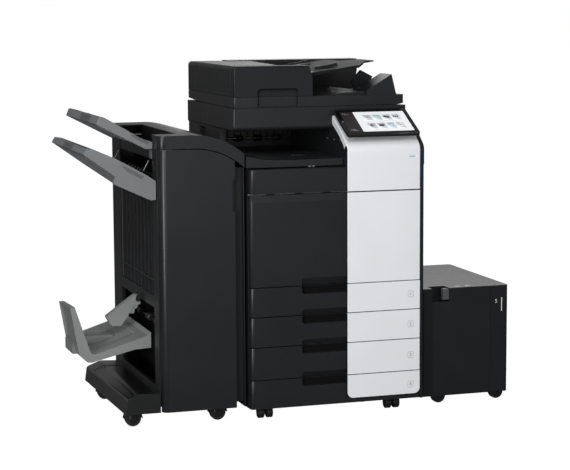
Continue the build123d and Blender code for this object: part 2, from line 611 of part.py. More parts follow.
foot_end, foot_flare = 636.0, 15.0            # the foot widens by the flare towards its back end
foot_hollow = [(-415, 49), (-409, 99), (-377, 114), (finisher_left, 110), (finisher_left, 49)]


def foot_section(y, reach):
    """Outline of the foot at the station y; its outer edge stands the reach further out."""
    shoulder = (-412 - reach, 100)
    with BuildSketch(Plane.XZ.offset(-(FRONT + y))) as section:
        Polygon(*[(LEFT + x, z) for x, z in ((-419 - reach, 50), shoulder, (-378, 119), (finisher_left - 0.5, 115),
                                             (finisher_left - 0.5, 50))], align=None)
        round_corners(section, {shoulder: 12, (-378, 119): 40}, LEFT)
    return section.sketch


with BuildPart() as foot_cover:
    loft([foot_section(40, 0), foot_section(foot_end, foot_flare)])
    across_y(foot_hollow, (44, foot_end - 4), Mode.SUBTRACT)
    block((-440, finisher_left), (539.4, 540.6), (97, 121), Mode.SUBTRACT)
save(foot_cover, "foot_cover")

root_x = finisher_left - 2                    # the trays end just short of the finisher's side
with BuildPart() as lower_tray:
    across_y([(-541, 914), (-530, 932), (-504, 928), (-437, 898), (-332, 840), (root_x, 819), (root_x, 758),
              (-318, 756), (-436, 838)], (tray_front, tray_back), rounding={(-504, 928): 30, (-437, 898): 80})
    across_y([(-522, 898), (-500, 914), (-438, 886), (-335, 828), (root_x - 5, 808), (root_x - 5, 740), (-522, 740)],
             (tray_front + 6, tray_back - 6), Mode.SUBTRACT)
    # deeper cheek along the front
    across_y([(-436, 839), (-445, 815), (-318, 756), (-330, 790)], (tray_front, tray_front + 6))
save(lower_tray, "lower_tray")

with BuildPart() as upper_tray:
    across_y([(-488, 1006), (-478, 1031), (-462, 1029), (-386, 985), (-330, 951), (root_x, 944), (root_x, 922),
              (-326, 922)], (98, tray_back), rounding={(-462, 1029): 20})
    across_y([(-476, 990), (-460, 1015), (-386, 973), (-332, 940), (root_x - 5, 934), (root_x - 5, 910)],
             (104, tray_back - 6), Mode.SUBTRACT)
save(upper_tray, "upper_tray")

booklet_y, stop_back = (160.0, 572.0), 366.0
with BuildPart() as booklet_tray:
    across_y([(root_x, 300), (-314, 289), (-488, 238), (-507, 240), (-527, 301), (-559, 400), (-573, 400), (-573, 390),
              (-551, 260), (-544, 234), (-519, 211), (-504, 210), (-358, 245), (root_x, 248)], booklet_y,
             rounding={(-507, 240): 8, (-544, 234): 10, (-519, 211): 12})
    # hollow underside, and the sunken sheet channel behind the broad front rim
    across_y([(root_x - 6, 270), (-490, 222), (-490, 190), (root_x - 6, 190)], (172, booklet_y[1] - 12), Mode.SUBTRACT)
    across_y([(-322, 290), (-340, 279), (-489, 232), (-489, 320), (-322, 320)], (262, booklet_y[1] + 1), Mode.SUBTRACT)
    # upright stop: narrower than the tray, slanting along its top, with a shallow pocket in its outer face
    block((-580, -506), (stop_back, booklet_y[1] + 1), (200, 410), Mode.SUBTRACT)
    across_x([(booklet_y[0], 400), (stop_back, 389), (stop_back, 410), (booklet_y[0], 410)], (-580, -521),
             Mode.SUBTRACT)
    across_y([(-590, 274), (-590, 386), (-565, 386), (-547, 274)], (booklet_y[0] + 13, stop_back - 13), Mode.SUBTRACT)
    # heel under the stop
    block((-554, -530), (238, stop_back), (228, 264))
save(booklet_tray, "booklet_tray")

with BuildPart() as booklet_guide:
    across_y([(-423, 335), (-322, 406), (-310, 406), (-303, 398), (-303, 374), (-324, 368), (-371, 301),
              (-405, 304)], guide_y, rounding={(-423, 335): 6, (-405, 304): 12, (-371, 301): 8})
    rod("y", *guide_y, guide_pivot, pin_radius + running_fit, Mode.SUBTRACT)
save(booklet_guide, "booklet_guide")


def make_wheel_pair(name, x, centres, radius):
    """Front and back wheel of one side; both turn about the same front-to-back line."""
    with BuildPart() as wheels:
        for y in centres:
            rod("y", y - fork_gap + 1, y + fork_gap - 1, (x, radius), radius)
        fillet(wheels.edges().filter_by(GeomType.CIRCLE), 3)
        for y in centres:
            rod("y", y - fork_gap, y + fork_gap, (x, radius), pin_radius + running_fit, Mode.SUBTRACT)
    save(wheels, name)


make_wheel_pair("finisher_left_wheels", finisher_wheel_x[0], finisher_wheel_y, finisher_wheel)
make_wheel_pair("finisher_right_wheels", finisher_wheel_x[1], finisher_wheel_y, finisher_wheel)

# ------------------------------------------------------------------ large paper feeder
store_wheel_x, store_wheel_y = [711.0, 931.0], [95.0, 530.0]
store_deck = 60.0
lid_thickness, lid_gap, lid_back, lid_right = 6.0, 0.8, 571.0, 955.0
recess_x, recess_floor, recess_back = (673.0, 737.0), 363.0, 106.0
lever_pivot, lever_pin = (67.0, 381.0), 3.0
store_inside = ((store_left + skin, store_right - skin), (store_front + skin, store_back - skin))

with BuildPart() as store_body:
    block((store_left, store_right), (store_front, store_back), (store_bottom, store_top))
    fillet(upright_edge(store_body, store_right, store_front)[0], 14)
    fillet(upright_edge(store_body, store_right, store_back)[0], 14)
    fillet(edges_near(store_body, Axis.X, y=store_front, z=store_top), 2)
    block((store_left + skin, store_right - 10), store_inside[1], (store_bottom, store_deck), Mode.SUBTRACT)
    block((store_left + skin, store_right - 10), store_inside[1], (store_deck + skin, store_top - 9), Mode.SUBTRACT)
    # seat of the lid, and the opening that the stack is loaded through
    block((lid_left, lid_right), (lid_front, lid_back), (store_top - lid_thickness, store_top), Mode.SUBTRACT)
    block((lid_left + 10, lid_right - 10), (lid_front + 10, lid_back - 10), (store_top - 20, store_top), Mode.SUBTRACT)
    # pocket for the release lever, open at the front and at the top
    block((recess_x[0] - skin, recess_x[1] + skin), (store_front + skin, recess_back + skin),
          (recess_floor - skin, store_top - 9))
    block(recess_x, (store_front, recess_back), (recess_floor, store_top), Mode.SUBTRACT)
    rod("x", 710, recess_x[1] + 1, lever_pivot, lever_pin)
    # seam beside the rounded front strip
    block((892.4, 893.6), (store_front, store_front + 1.5), (store_bottom, store_top), Mode.SUBTRACT)
    # docking bridge that hands the sheets to the copier
    block((copier_width + 2, store_left), (200, 460), (250, 390))
    for x in store_wheel_x:
        for y in store_wheel_y:
            block((x - 28, x + 28), (y - 18, y + 18), (store_bottom, store_deck), Mode.SUBTRACT)
            fork(x, y, store_wheel, store_deck)
save(store_body, "side_feeder_body")

with BuildPart() as store_lid:
    block((lid_left + lid_gap, lid_right - lid_gap), (lid_front + lid_gap, lid_back - lid_gap),
          (store_top - lid_thickness + 0.5, store_top))
    fillet(edges_near(store_lid, Axis.X, y=lid_front + lid_gap, z=store_top), 1)
save(store_lid, "side_feeder_lid")

with BuildPart() as release_lever:
    across_x([(58, 366), (58, 400), (63, 407), (76, 407), (76, 371)], (714, 736), rounding={(58, 366): 5, (76, 371): 5})
    rod("x", 713, 737, lever_pivot, lever_pin + running_fit, Mode.SUBTRACT)
save(release_lever, "release_lever")

lift_travel = 280.0
with BuildPart() as lift_plate:
    block((lid_left + 6, 940), (lid_front + 12, 560), (store_deck + 12, store_deck + 15))
    block((lid_left + 60, 880), (lid_front - 20, lid_front + 12), (store_deck + 12, store_deck + 15))
save(lift_plate, "side_feeder_lift_plate")

make_wheel_pair("side_feeder_left_wheels", store_wheel_x[0], store_wheel_y, store_wheel)
make_wheel_pair("side_feeder_right_wheels", store_wheel_x[1], store_wheel_y, store_wheel)

# ------------------------------------------------------------------ swivel casters under the copier
trail = 9.0                                   # axle stands this far behind the swivel axis
disc_gap, disc_width = 5.0, 20.0


def make_caster(name, x, y):
    """Swivel fork with its stem, and the twin wheel that straddles it."""
    with BuildPart() as fork_piece:
        rod("z", 41, chassis_bottom - 0.4, (x, y), 17)
        rod("z", chassis_bottom - 0.4, chassis_bottom + floor_plate, (x, y), stem_radius)
        across_x([(y - 12, 41.5), (y - 2, 14), (y + trail + 8, 12), (y + trail + 12, 26), (y + 12, 41.5)], (x - 4, x + 4))
        rod("x", x - 5, x + 5, (y + trail, caster_wheel), pin_radius + running_fit, Mode.SUBTRACT)
    save(fork_piece, f"{name}_fork")
    with BuildPart() as wheel:
        for side in (-1, 1):
            near, far = sorted((x + side * disc_gap, x + side * (disc_gap + disc_width)))
            rod("x", near, far, (y + trail, caster_wheel), caster_wheel)
        fillet(wheel.edges().filter_by(GeomType.CIRCLE), 3)
        rod("x", x - disc_gap - 1, x + disc_gap + 1, (y + trail, caster_wheel), pin_radius)
    save(wheel, f"{name}_wheels")


for y, row in zip(caster_y, ("front", "rear")):
    for x, side in zip(caster_x, ("left", "right")):
        make_caster(f"{row}_{side}_caster", x, y)
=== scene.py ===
"""Looks for the office copier with its finisher and side feeder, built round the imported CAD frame."""
import json
from math import cos, pi, radians, sin

import bmesh
import bpy
from mathutils import Matrix, Vector


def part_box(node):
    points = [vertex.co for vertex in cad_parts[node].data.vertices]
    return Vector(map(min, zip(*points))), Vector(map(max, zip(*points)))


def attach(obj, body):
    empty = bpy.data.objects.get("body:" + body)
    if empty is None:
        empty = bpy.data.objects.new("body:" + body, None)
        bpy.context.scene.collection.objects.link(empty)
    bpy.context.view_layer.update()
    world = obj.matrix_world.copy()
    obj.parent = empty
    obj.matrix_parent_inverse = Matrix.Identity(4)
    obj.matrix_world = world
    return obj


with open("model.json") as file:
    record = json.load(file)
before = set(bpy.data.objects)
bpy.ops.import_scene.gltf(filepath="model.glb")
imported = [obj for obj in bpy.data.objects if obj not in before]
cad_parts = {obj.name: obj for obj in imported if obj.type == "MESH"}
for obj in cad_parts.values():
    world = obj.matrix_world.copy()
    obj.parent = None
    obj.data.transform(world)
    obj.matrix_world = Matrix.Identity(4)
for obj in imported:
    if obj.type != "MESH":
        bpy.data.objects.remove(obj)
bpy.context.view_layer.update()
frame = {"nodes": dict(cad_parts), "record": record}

# ------------------------------------------------------------------ stations
# The frame gives every place.  Stations are millimetres from the copier's left side, its drawer
# fronts and the floor, because the copier's parts line up on those three planes.
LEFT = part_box("drawer_1")[0][0]
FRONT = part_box("drawer_1")[0][1]
MM = 0.001


def at(x, y, z):
    """Point in the shared frame, in metres, from stations in millimetres."""
    return Vector((LEFT + x * MM, FRONT + y * MM, z * MM))


# ------------------------------------------------------------------ camera
CAMERA_STATION = (-1701.6, -5676.8, 1411.9)
CAMERA_YAW, CAMERA_PITCH, CAMERA_ROLL = 17.8, 7.47, -0.31
CAMERA_LENS, CAMERA_SENSOR = 114.4, 36.0


def make_camera():
    """Camera in front of the system and to its left, with a long lens."""
    data = bpy.data.cameras.new("camera")
    data.lens = CAMERA_LENS
    data.sensor_width = CAMERA_SENSOR
    data.clip_end = 60.0
    camera = bpy.data.objects.new("camera", data)
    bpy.context.scene.collection.objects.link(camera)
    camera.location = at(*CAMERA_STATION)
    aim = Matrix.Rotation(radians(-CAMERA_YAW), 4, "Z")
    tilt = Matrix.Rotation(radians(90 - CAMERA_PITCH), 4, "X")
    roll = Matrix.Rotation(radians(CAMERA_ROLL), 4, "Z")
    camera.rotation_euler = (aim @ tilt @ roll).to_euler()
    bpy.context.scene.camera = camera


# ------------------------------------------------------------------ materials
def new_material(name):
    """New node material, with its nodes and links."""
    material = bpy.data.materials.new(name)
    material.use_nodes = True
    return material, material.node_tree.nodes, material.node_tree.links


def noise(nodes, links, place, scale, detail):
    """Output of a noise texture in object space."""
    texture = nodes.new("ShaderNodeTexNoise")
    texture.inputs["Scale"].default_value = scale
    texture.inputs["Detail"].default_value = detail
    links.new(place.outputs["Object"], texture.inputs["Vector"])
    return texture.outputs["Fac"]


def plastic(name, colour, roughness, grain=900.0, depth=0.00004, variation=0.12, specular=0.5, metallic=0.0,
            coat=0.0, wear=0.04):
    """Moulded surface: fine spark-erosion grain, slight roughness patches and a slight colour drift."""
    material, nodes, links = new_material(name)
    shader = nodes["Principled BSDF"]
    shader.inputs["Metallic"].default_value = metallic
    shader.inputs["Specular IOR Level"].default_value = specular
    shader.inputs["Coat Weight"].default_value = coat
    shader.inputs["Coat Roughness"].default_value = 0.15
    place = nodes.new("ShaderNodeTexCoord")
    drift = noise(nodes, links, place, 7.0, 3.0)
    tint = nodes.new("ShaderNodeValToRGB")
    low, high = 1.0 - variation, 1.0 + variation
    tint.color_ramp.elements[0].position, tint.color_ramp.elements[1].position = 0.3, 0.7
    tint.color_ramp.elements[0].color = (*[min(1.0, c * low) for c in colour], 1)
    tint.color_ramp.elements[1].color = (*[min(1.0, c * high) for c in colour], 1)
    links.new(drift, tint.inputs["Fac"])
    links.new(tint.outputs["Color"], shader.inputs["Base Color"])
    patches = noise(nodes, links, place, 38.0, 4.0)
    spread = nodes.new("ShaderNodeMapRange")
    spread.inputs["To Min"].default_value = roughness - wear
    spread.inputs["To Max"].default_value = roughness + wear
    links.new(patches, spread.inputs["Value"])
    links.new(spread.outputs["Result"], shader.inputs["Roughness"])
    grains = noise(nodes, links, place, grain, 2.0)
    bump = nodes.new("ShaderNodeBump")
    bump.inputs["Strength"].default_value = 0.5
    bump.inputs["Distance"].default_value = depth
    links.new(grains, bump.inputs["Height"])
    links.new(bump.outputs["Normal"], shader.inputs["Normal"])
    return material


def lit(name, colour, glow, roughness=0.3):
    """Printed or lit mark: the same moulded surface with a little light of its own, which is painted light
    wherever the mark is print or a dark slot and not a screen or lamp.
    """
    material = plastic(name, colour, roughness, grain=400.0, depth=0.000005, variation=0.03)
    shader = material.node_tree.nodes["Principled BSDF"]
    shader.inputs["Emission Color"].default_value = (*colour, 1)
    shader.inputs["Emission Strength"].default_value = glow
    return material


def clear_glass(name, colour):
    """Smooth glass that lets most of the light through."""
    material = plastic(name, colour, 0.06, grain=300.0, depth=0.000004, variation=0.02, wear=0.02)
    material.node_tree.nodes["Principled BSDF"].inputs["Transmission Weight"].default_value = 0.85
    return material


CHARCOAL = (0.0105, 0.0112, 0.0125)
# one material for each slot of the record
MATERIALS = {
    "charcoal_plastic": plastic("charcoal_plastic", CHARCOAL, 0.36, specular=0.38),
    "white_plastic": plastic("white_plastic", (0.80, 0.815, 0.835), 0.38, variation=0.015, depth=0.00002),
    "grey_plastic": plastic("grey_plastic", (0.15, 0.156, 0.162), 0.42, variation=0.05),
    "light_grey_plastic": plastic("light_grey_plastic", (0.20, 0.207, 0.207), 0.4, variation=0.05),
    "black_gloss": plastic("black_gloss", (0.006, 0.006, 0.007), 0.16, depth=0.00001, coat=0.4),
    "screen_glass": plastic("screen_glass", (0.004, 0.004, 0.005), 0.08, depth=0.000004, wear=0.02),
    "platen_glass": clear_glass("platen_glass", (0.8, 0.86, 0.84)),
    "chassis_steel": plastic("chassis_steel", (0.42, 0.43, 0.44), 0.38, grain=140.0, metallic=0.85,
                             variation=0.1),
    "foam_white": plastic("foam_white", (0.80, 0.80, 0.78), 0.7, grain=500.0, variation=0.02),
    "dark_mechanism": plastic("dark_mechanism", (0.008, 0.008, 0.009), 0.5, specular=0.3),
    "toner_plastic": plastic("toner_plastic", (0.05, 0.05, 0.055), 0.45),
    "bright_steel": plastic("bright_steel", (0.55, 0.55, 0.56), 0.26, grain=220.0, metallic=1.0,
                            variation=0.05),
    "caster_rubber": plastic("caster_rubber", (0.010, 0.010, 0.011), 0.5, grain=420.0, depth=0.0001),
    "lever_grey": plastic("lever_grey", (0.07, 0.072, 0.074), 0.4, variation=0.05),
}
# finishes of the marks and small parts that share a slot with a larger surface
TRIM = {
    # dark screen strip; the same material is painted shade in the side feeder's vents
    "menu_bar_and_slot_shade": lit("menu_bar_and_slot_shade", (0.020, 0.015, 0.017), 0.3),
    "screen_white": lit("screen_white", (0.69, 0.715, 0.725), 0.5),
    "screen_tile": lit("screen_tile", (0.64, 0.66, 0.675), 0.5),
    "icon_dark": lit("icon_dark", (0.02, 0.024, 0.03), 0.1),
    "icon_grey": lit("icon_grey", (0.33, 0.34, 0.36), 0.4),
    "icon_teal": lit("icon_teal", (0.22, 0.60, 0.47), 0.5),
    "icon_blue": lit("icon_blue", (0.16, 0.45, 0.78), 0.5),
    "icon_pink": lit("icon_pink", (0.72, 0.48, 0.50), 0.5),
    # painted shade: near-black sheets for finger grips, recesses and slits, where there is only shadow
    "grip_shade": plastic("grip_shade", (0.004, 0.004, 0.004), 0.7, specular=0.06),
    # painted light: the four printed marks below glow a little, though they are not lamps
    "small_mark": lit("small_mark", (0.36, 0.37, 0.38), 0.15),
    "pale_mark": lit("pale_mark", (0.62, 0.62, 0.63), 0.12),
    "faint_mark_and_edge_highlight": lit("faint_mark_and_edge_highlight", (0.11, 0.112, 0.116), 0.1),
    "number_grey": lit("number_grey", (0.24, 0.245, 0.26), 0.1),
    "status_blue": lit("status_blue", (0.13, 0.24, 0.36), 0.15),
    "accent_navy": plastic("accent_navy", (0.004, 0.016, 0.062), 0.25, coat=0.3),
    "raised_charcoal": plastic("raised_charcoal", (0.016, 0.0168, 0.018), 0.36, specular=0.4),
    "pocket_grey": plastic("pocket_grey", (0.09, 0.093, 0.096), 0.6, grain=260.0, depth=0.0002),
    "knob_green": plastic("knob_green", (0.03, 0.24, 0.10), 0.4),
    "cyan_cap": plastic("cyan_cap", (0.01, 0.28, 0.52), 0.4),
    "magenta_cap": plastic("magenta_cap", (0.50, 0.02, 0.16), 0.4),
    "yellow_cap": plastic("yellow_cap", (0.72, 0.50, 0.02), 0.4),
    "black_cap": plastic("black_cap", (0.02, 0.02, 0.02), 0.4),
    "roller_rubber": plastic("roller_rubber", (0.012, 0.012, 0.013), 0.42, grain=300.0, specular=0.3),
}
# nodes whose surface is glossier or duller than the rest of their slot
OWN_FINISH = {
    "foot_cover": plastic("polished_charcoal", (0.006, 0.0064, 0.007), 0.30, specular=0.7),
    "document_tray": plastic("dull_charcoal", (0.009, 0.0095, 0.0105), 0.62, specular=0.12),
    "feed_cover": plastic("hood_charcoal", CHARCOAL, 0.46, specular=0.26),
}
# edge rounding in millimetres, and the nodes that have their own
USUAL_EDGE = 1.1
OWN_EDGE = {"foot_cover": 2.2, "booklet_tray": 1.8, "booklet_guide": 1.6, "lower_tray": 1.6,
            "upper_tray": 1.6, "feeder_base": 1.5, "panel_housing": 0.8, "touch_screen": 0.3,
            "platen_glass": 0.2}


def soften(piece, width):
    """Round the hard edges of a piece; the width is in millimetres."""
    bevel = piece.modifiers.new("soft_edges", "BEVEL")
    bevel.width = width * MM
    bevel.segments = 2
    bevel.limit_method = "ANGLE"
    bevel.angle_limit = radians(32)
    bevel.harden_normals = False


def dress_cad():
    """Give every carried-over CAD node its finish, and soften its hard edges."""
    slots = {entry["node"]: entry["material_slot"] for entry in frame["record"]["subparts"]}
    for node, piece in frame["nodes"].items():
        piece.data.materials.clear()
        piece.data.materials.append(OWN_FINISH.get(node, MATERIALS[slots[node]]))
        weld = piece.modifiers.new("weld", "WELD")
        weld.merge_threshold = 0.00002
        soften(piece, OWN_EDGE.get(node, USUAL_EDGE))


# ------------------------------------------------------------------ mesh building
# A mapping carries (u, v, w) to a point: an outline lies in u and v, and w runs through it.
def across_x(u, v, w):
    return at(w, u, v)


def across_y(u, v, w):
    return at(u, w, v)


def across_z(u, v, w):
    return at(u, v, w)


def rectangle(u, v):
    """Outline of the ranges u and v."""
    return [(u[0], v[0]), (u[1], v[0]), (u[1], v[1]), (u[0], v[1])]


def rounded(u, v, radius, steps=5):
    """Outline of the ranges u and v with round corners."""
    outline = []
    corners = [(u[1] - radius, v[1] - radius), (u[0] + radius, v[1] - radius),
               (u[0] + radius, v[0] + radius), (u[1] - radius, v[0] + radius)]
    for quarter, (cu, cv) in enumerate(corners):
        for step in range(steps + 1):
            angle = (quarter + step / steps) * pi / 2
            outline.append((cu + radius * cos(angle), cv + radius * sin(angle)))
    return outline


def circle(centre, radius, steps=28):
    """Outline of a circle, in equal steps."""
    return [(centre[0] + radius * cos(2 * pi * i / steps), centre[1] + radius * sin(2 * pi * i / steps))
            for i in range(steps)]


def loft(mesh, rings, closed=False):
    """Skin a row of equal rings of points; capped at both ends, or closed into a loop."""
    rows = [[mesh.verts.new(point) for point in ring] for ring in rings]
    count = len(rows[0])
    pairs = list(zip(rows, rows[1:])) + ([(rows[-1], rows[0])] if closed else [])
    for near, far in pairs:
        for i in range(count):
            j = (i + 1) % count
            mesh.faces.new((near[i], far[i], far[j], near[j]))
    if not closed:
        mesh.faces.new(rows[0])
        mesh.faces.new(rows[-1][::-1])


def prism(mapping, outline, span):
    """Outline carried along w over the span."""
    return lambda mesh: loft(mesh, [[mapping(u, v, w) for u, v in outline] for w in span])


def bar(x, y, z):
    """Straight-sided bar over three station ranges."""
    return prism(across_z, rectangle(x, y), z)


def ribs(mapping, outline, starts, thickness):
    """Row of equal ribs: one outline, repeated at each start along w."""
    return [prism(mapping, outline, (start, start + thickness)) for start in starts]


def frame_ring(mapping, outer, inner, span):
    """Flat frame between two outlines with the same number of points."""
    sections = [(outer, span[0]), (outer, span[1]), (inner, span[1]), (inner, span[0])]
    return lambda mesh: loft(mesh, [[mapping(u, v, w) for u, v in outline] for outline, w in sections],
                             closed=True)


def turned(mapping, centre, profile, steps=32):
    """Turned solid about w: the profile lists (w, radius)."""
    return lambda mesh: loft(mesh, [[mapping(u, v, w) for u, v in circle(centre, radius, steps)]
                                    for w, radius in profile])


def rollers(mapping, centre, starts, width, radius, chamfer=2):
    """Row of equal rollers on one axis, each with chamfered ends."""
    return [turned(mapping, centre, [(start, radius - chamfer), (start + chamfer, radius),
                                     (start + width - chamfer, radius), (start + width, radius - chamfer)])
            for start in starts]


def rod(start, end, radius, steps=14):
    """Round rod between two stations."""
    first, last = at(*start), at(*end)
    turn = (last - first).to_track_quat("Z", "Y").to_matrix()
    section = circle((0, 0), radius * MM, steps)
    return lambda mesh: loft(mesh, [[base + turn @ Vector((u, v, 0)) for u, v in section]
                                    for base in (first, last)])


def up_slope(low, high, x):
    """Height at x on the straight slope through two points, each x and z."""
    return low[1] + (x - low[0]) * (high[1] - low[1]) / (high[0] - low[0])


def add_piece(name, slot, body, shapes, finish=None, soft=0.3):
    """Build the shapes as one piece that rides on the body; finish names a TRIM material."""
    mesh = bmesh.new()
    for shape in shapes:
        shape(mesh)
    bmesh.ops.recalc_face_normals(mesh, faces=mesh.faces)
    data = bpy.data.meshes.new(name)
    mesh.to_mesh(data)
    mesh.free()
    piece = bpy.data.objects.new(name, data)
    bpy.context.scene.collection.objects.link(piece)
    if soft:
        soften(piece, soft)
    for face in data.polygons:
        face.use_smooth = len(data.polygons) > 60
    enrol(piece, slot, body, finish)


def enrol(piece, slot, body, finish):
    """Give the piece its finish, from TRIM or else from its slot's material, and its body."""
    piece.data.materials.append(TRIM[finish] if finish else MATERIALS[slot])
    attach(piece, body)


def add_number(name, text, place, height, body, slot="white_plastic", finish="number_grey"):
    """Figure on a front face; its height is the digit's own height."""
    data = bpy.data.curves.new(name, "FONT")
    data.body = text
    data.size = height * MM / 0.7
    data.align_x, data.align_y = "CENTER", "CENTER"
    data.extrude = 0.15 * MM
    piece = bpy.data.objects.new(name, data)
    bpy.context.scene.collection.objects.link(piece)
    piece.location = at(*place)
    piece.rotation_euler = (pi / 2, 0, 0)
    bpy.context.view_layer.update()
    enrol(piece, slot, body, finish)


# ------------------------------------------------------------------ touch screen
SCREEN_TILT = radians(27)
PANEL_LEFT = 337.0
PANEL_LOW = (-20.0, 957.0)                     # y and z of the panel's near edge
DISPLAY = (20.0, 148.0)                        # lit area, up the slope
MENU, HOME = (15.0, 61.0), (62.0, 245.0)       # dark menu strip and white home page, across
ICON_COLUMNS, ICON_ROWS = (104.0, 139.0, 174.0, 208.0), (112.0, 58.0)
# layers of the print, out from the glass
PAGE_LIFT, TILE_LIFT, ICON_LIFT, DETAIL_LIFT = 0.12, 0.2, 0.3, 0.38


def on_screen(u, v, w):
    """Point on the panel: u across from its left edge, v up the slope, w out of the glass."""
    return at(PANEL_LEFT + u, PANEL_LOW[0] + v * cos(SCREEN_TILT) - w * sin(SCREEN_TILT),
              PANEL_LOW[1] + v * sin(SCREEN_TILT) + w * cos(SCREEN_TILT))


def screen_mark(name, outlines, lift, finish):
    """Thin printed shape on the screen, in its own layer above the glass."""
    add_piece(name, "screen_glass", "control_panel",
              [prism(on_screen, outline, (lift - 0.1, lift)) for outline in outlines], finish, soft=0)


def make_screen_icons():
    """Plain icons: copy, scan, send and folder on top; clock, keys, world and more below."""
    top, low = ICON_ROWS
    first, second, third, fourth = ICON_COLUMNS
    sheet = rounded((first - 5, first + 5), (top - 5, top + 6), 1)
    screen_mark("screen_icon_copy", [sheet], ICON_LIFT, "icon_grey")
    note = rounded((first + 14, first + 20), (top - 8, top - 4), 1)
    screen_mark("screen_icon_note", [note], ICON_LIFT, "icon_pink")
    scanner = [rounded((second - 9, second + 9), (top - 4, top + 5), 3),
               rounded((second - 5, second + 5), (top + 6, top + 8), 1)]
    screen_mark("screen_icon_scan", scanner, ICON_LIFT, "icon_teal")
    send = [rounded((third - 11, third + 10), (top - 3, top + 4), 2),
            circle((third - 6, top + 4), 4), circle((third + 4, top - 2), 5)]
    screen_mark("screen_icon_send", send, ICON_LIFT, "icon_dark")
    folder = [rectangle((fourth - 10 + 7 * i, fourth - 5 + 7 * i), (top - 3, top + 5)) for i in range(3)]
    screen_mark("screen_icon_folder", folder, ICON_LIFT, "icon_dark")
    screen_mark("screen_icon_clock", [circle((first, low), 7)], ICON_LIFT, "icon_dark")
    clock_hand = rectangle((first - 1, first + 4), (low - 1, low + 1))
    screen_mark("screen_clock_hand", [clock_hand], DETAIL_LIFT, "screen_white")
    keys = rounded((second - 9, second + 9), (low - 6, low + 6), 1)
    screen_mark("screen_icon_keys", [keys], ICON_LIFT, "icon_dark")
    screen_mark("screen_icon_world", [circle((third, low), 8.5)], ICON_LIFT, "icon_blue")
    screen_mark("screen_world_ring", [circle((third, low), 4)], DETAIL_LIFT, "screen_tile")
    more = rounded((fourth - 3, fourth + 3), (low - 3, low + 3), 1)
    screen_mark("screen_icon_more", [more], ICON_LIFT, "icon_grey")


def make_screen():
    """Lit page with its menu strip, tiles and icons, and the switch on the panel's side."""
    screen_mark("screen_menu_strip", [rectangle(MENU, DISPLAY)], PAGE_LIFT, "menu_bar_and_slot_shade")
    screen_mark("screen_home_page", [rectangle(HOME, DISPLAY)], PAGE_LIFT, "screen_white")
    tiles = [rounded((u - 15, u + 15), (v - 20, v + 16), 3) for u in ICON_COLUMNS for v in ICON_ROWS]
    screen_mark("screen_tiles", tiles, TILE_LIFT, "screen_tile")
    make_screen_icons()
    labels = [rectangle((u - 9, u + 9), (v - 15, v - 13.6)) for u in ICON_COLUMNS for v in ICON_ROWS]
    screen_mark("screen_labels", labels, ICON_LIFT, "icon_grey")
    menu_marks = [circle((24, 138), 2.2), rectangle((29, 34), (137, 139)), rectangle((29, 47), (132, 133)),
                  circle((24, 33), 2.2), rectangle((29, 47), (28, 29.2)), rectangle((29, 40), (34, 36))]
    screen_mark("screen_menu_marks", menu_marks, TILE_LIFT, "icon_grey")
    screen_mark("panel_sensor_mark", [circle((9, 88), 2.4)], 0.1, "small_mark")
    add_piece("panel_side_switch", "black_gloss", "control_panel",
              [prism(on_screen, rounded((-0.8, 1.2), (70, 98), 0.9), (-9, -4))], soft=0.2)


# ------------------------------------------------------------------ copier's outside
COLUMN_FACE, DRAWER_FACE = -8.0, -8.0
COLUMN_SIDE = (338.2, 339.1)                   # dark skin over the left side of the white parts
NUMBER_X, NUMBER_HEIGHTS = 567.0, (409.0, 305.0, 198.0, 96.0)
GRIP_X, GRIP_BACK = (181, 338), (13.4, 14.9)
GRIP_HEIGHTS = (26, 1.5)                       # down from the drawer's top
BAY_REAR, BAY_RIGHT = 610.0, 339.0
BAY_SHAFT = (BAY_REAR - 14, 908)               # y and z of the exit rollers' axis


def make_column_marks():
    """Lights and dark sides of the white column and panels, and the marks on the output tray."""
    face = (COLUMN_FACE - 0.3, COLUMN_FACE)
    add_piece("status_light", "white_plastic", "copier",
              [prism(across_y, rounded((561, 581), (877.6, 880.4), 1.2), face)], "status_blue", soft=0)
    add_piece("status_light_rest", "white_plastic", "copier",
              [prism(across_y, rounded((584, 591), (878, 880), 0.9), face)], "screen_tile", soft=0)
    add_piece("accent_strip", "charcoal_plastic", "copier",
              [prism(across_y, rounded((603, 613), (771, 899), 2), (-4.6, -3.8))], "accent_navy", soft=0.3)
    side = [(-6.8, 769), (24, 769), (24, 905), (14, 916), (2, 920), (-6.8, 909)]
    add_piece("column_dark_side", "charcoal_plastic", "copier", [prism(across_x, side, COLUMN_SIDE)], soft=0)
    ranges = {"front_door": (457.5, 763.5), "drawer_1": (357.5, 454.5), "drawer_2": (255.5, 352.5),
              "drawer_3": (144.5, 252.5), "drawer_4": (66, 141.5)}
    for body, span in ranges.items():
        skin = bar(COLUMN_SIDE, (-6.8, -0.1), span)
        add_piece(f"{body}_dark_side", "charcoal_plastic", body, [skin], soft=0)
    marks = [prism(across_y, rounded((x, x + 8), (853.4, 854.6), 0.5), (22, 30)) for x in (212, 226)]
    add_piece("tray_latch_marks", "charcoal_plastic", "copier", marks, "small_mark", soft=0)


def make_drawer_numbers():
    """Figure in a rounded frame on each drawer."""
    for number, z in enumerate(NUMBER_HEIGHTS, start=1):
        outer = rounded((NUMBER_X - 10, NUMBER_X + 10), (z - 11, z + 11), 4)
        inner = rounded((NUMBER_X - 9.1, NUMBER_X + 9.1), (z - 10.1, z + 10.1), 3.1)
        border = frame_ring(across_y, outer, inner, (DRAWER_FACE - 0.3, DRAWER_FACE))
        add_piece(f"drawer_{number}_mark", "white_plastic", f"drawer_{number}", [border], "number_grey",
                  soft=0)
        place = (NUMBER_X, DRAWER_FACE - 0.2, z)
        add_number(f"drawer_{number}_number", str(number), place, 12, f"drawer_{number}")


